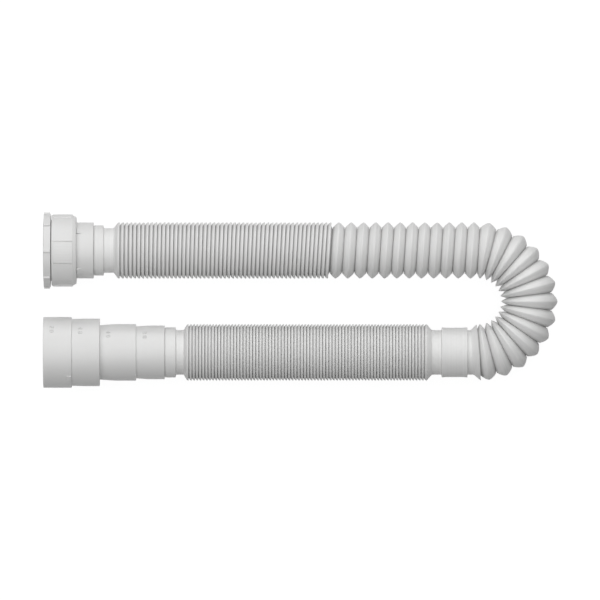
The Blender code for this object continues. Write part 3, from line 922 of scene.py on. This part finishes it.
def plastic(name, colour, roughness, drift):
    """Semi-matt moulded plastic: a slight drift of tone and gloss, and a very fine grain."""
    material = bpy.data.materials.new(name)
    material.use_nodes = True
    tree = material.node_tree
    shader = tree.nodes["Principled BSDF"]
    set_inputs(shader, {"Specular IOR Level": 0.45, "IOR": 1.49})
    place = tree.nodes.new("ShaderNodeTexCoord").outputs["Object"]
    cloud = noise(tree, place, {"Scale": 28.0, "Detail": 3.0, "Roughness": 0.5})
    drift_tone(tree, shader, cloud, colour, drift)
    drift_gloss(tree, shader, cloud, roughness)
    add_grain(tree, shader, place)
    return material


def darken_by(material, amount, tone):
    """Multiplies a material's colour by a tone, as far as amount says at each point."""
    tree = material.node_tree
    shader = tree.nodes["Principled BSDF"]
    surface = shader.inputs["Base Color"].links[0].from_socket
    shade = multiplier(tree)
    shade.inputs["B"].default_value = tone
    tree.links.new(amount, shade.inputs["Factor"])
    tree.links.new(surface, shade.inputs["A"])
    tree.links.new(shade.outputs["Result"], shader.inputs["Base Color"])


def stored(material, name):
    """The value of that name which the piece's rings carry."""
    reader = material.node_tree.nodes.new("ShaderNodeAttribute")
    reader.attribute_name = name
    return reader.outputs["Fac"]


def paint_recess_shade(material):
    """Painted shade: slots and grooves are a little darker, by the recess that each ring carries."""
    darken_by(material, stored(material, "recess_shade"), RECESS_PAINTED_SHADE)


def add_moulding_lines(material):
    """Faint uneven lines round the pleats, as the blowing mould leaves them."""
    tree = material.node_tree
    lines = tree.nodes.new("ShaderNodeTexNoise")
    lines.noise_dimensions = "1D"
    set_inputs(lines, {"Scale": MOULD_LINES_PER_MM, "Detail": 2.0, "Roughness": 0.6})
    tree.links.new(stored(material, "station"), lines.inputs["W"])
    darken_by(material, lines.outputs["Fac"], MOULD_LINE_TONE)


def make_washer_rubber():
    """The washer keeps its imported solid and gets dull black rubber."""
    rubber = plastic("dull_rubber", RUBBER_BLACK, roughness=0.75, drift=0.3)
    washer = frame["nodes"]["tailpiece_washer"]
    washer.data.materials.clear()
    washer.data.materials.append(rubber)


def make_floor():
    """A pale floor that is white to the camera and to gloss, and keeps the trap's shadow."""
    bpy.ops.mesh.primitive_plane_add(size=FLOOR_SIZE, location=(0.0, 0.0, 0.0))
    floor = bpy.context.object
    floor.name = "floor"
    material = bpy.data.materials.new("floor_white")
    material.use_nodes = True
    tree = material.node_tree
    tree.nodes.clear()
    out = tree.nodes.new("ShaderNodeOutputMaterial")
    matt = tree.nodes.new("ShaderNodeBsdfDiffuse")
    matt.inputs["Color"].default_value = FLOOR_GREY
    glow = tree.nodes.new("ShaderNodeEmission")
    glow.inputs["Strength"].default_value = FLOOR_GLOW
    both = tree.nodes.new("ShaderNodeAddShader")
    tree.links.new(matt.outputs["BSDF"], both.inputs[0])
    tree.links.new(glow.outputs["Emission"], both.inputs[1])
    mix = tree.nodes.new("ShaderNodeMixShader")
    tree.links.new(seen_directly(tree), mix.inputs["Fac"])
    tree.links.new(matt.outputs["BSDF"], mix.inputs[1])
    tree.links.new(both.outputs["Shader"], mix.inputs[2])
    tree.links.new(mix.outputs["Shader"], out.inputs["Surface"])
    floor.data.materials.append(material)


def seen_directly(tree):
    """1 for rays from the camera or by way of gloss or glass, and 0 for light."""
    path = tree.nodes.new("ShaderNodeLightPath")
    total = path.outputs["Is Camera Ray"]
    for name in ["Is Glossy Ray", "Is Transmission Ray"]:
        larger = tree.nodes.new("ShaderNodeMath")
        larger.operation = "MAXIMUM"
        tree.links.new(total, larger.inputs[0])
        tree.links.new(path.outputs[name], larger.inputs[1])
        total = larger.outputs["Value"]
    return total


def make_world():
    """A dim even surround, white to the camera."""
    world = bpy.data.worlds.new("studio")
    bpy.context.scene.world = world
    world.use_nodes = True
    tree = world.node_tree
    tree.nodes.clear()
    out = tree.nodes.new("ShaderNodeOutputWorld")
    surround = tree.nodes.new("ShaderNodeBackground")
    set_inputs(surround, {"Color": WHITE, "Strength": SURROUND_GLOW})
    white = tree.nodes.new("ShaderNodeBackground")
    set_inputs(white, {"Color": WHITE, "Strength": 1.0})
    mix = tree.nodes.new("ShaderNodeMixShader")
    path = tree.nodes.new("ShaderNodeLightPath")
    tree.links.new(path.outputs["Is Camera Ray"], mix.inputs["Fac"])
    tree.links.new(surround.outputs["Background"], mix.inputs[1])
    tree.links.new(white.outputs["Background"], mix.inputs[2])
    tree.links.new(mix.outputs["Shader"], out.inputs["Surface"])


def area_light(name, toward, distance, size_x, size_y, radiance):
    """A soft lamp that stands the given way from the trap and faces it."""
    data = bpy.data.lights.new(name, "AREA")
    data.shape = "RECTANGLE"
    data.size = size_x
    data.size_y = size_y
    data.energy = radiance * math.pi * size_x * size_y
    lamp = bpy.data.objects.new(name, data)
    way = Vector(toward).normalized()
    lamp.location = way * distance
    lamp.rotation_euler = way.to_track_quat("Z", "Y").to_euler()
    lamp.visible_camera = False
    bpy.context.scene.collection.objects.link(lamp)


def make_lights():
    """A wide lamp overhead, and a smaller one that lights the inlet's side from farther down."""
    overhead = (-0.1, math.tan(7.0 * DEG), 1.0)
    area_light("key_lamp", overhead, distance=2.0, size_x=3.6, size_y=2.4, radiance=1.42)
    beside = (0.0, math.tan(68.0 * DEG), 1.0)
    area_light("side_lamp", beside, distance=1.8, size_x=2.4, size_y=1.2, radiance=1.6)


def make_camera():
    data = bpy.data.cameras.new("camera")
    data.sensor_width = SENSOR
    data.lens = SENSOR * CAMERA_RISE / FIELD
    data.clip_start = 0.1
    data.clip_end = 30.0
    camera = bpy.data.objects.new("camera", data)
    camera.location = (CAMERA_SHIFT_X * MM, 0.0, (AXIS_Z + CAMERA_RISE) * MM)
    bpy.context.scene.collection.objects.link(camera)
    bpy.context.scene.camera = camera


for thing in list(bpy.data.objects):
    bpy.data.objects.remove(thing)
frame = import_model()
bpy.context.scene.view_settings.view_transform = "Standard"
hose_plastic = plastic("hose_grey", HOSE_GREY, roughness=0.45, drift=0.03)
add_moulding_lines(hose_plastic)
# painted shade in the hose's slots
paint_recess_shade(hose_plastic)
fitting_plastic = plastic("fitting_grey", PALE_GREY, roughness=0.4, drift=0.02)
# painted shade in the reducer's groove and on the size marks
paint_recess_shade(fitting_plastic)
make_hose(hose_plastic)
make_reducer_ring(fitting_plastic)
make_coupling_nut(fitting_plastic)
make_tailpiece(fitting_plastic)
make_outlet_adapter(fitting_plastic)
make_size_marks(fitting_plastic)
make_washer_rubber()
make_floor()
make_world()
make_lights()
make_camera()
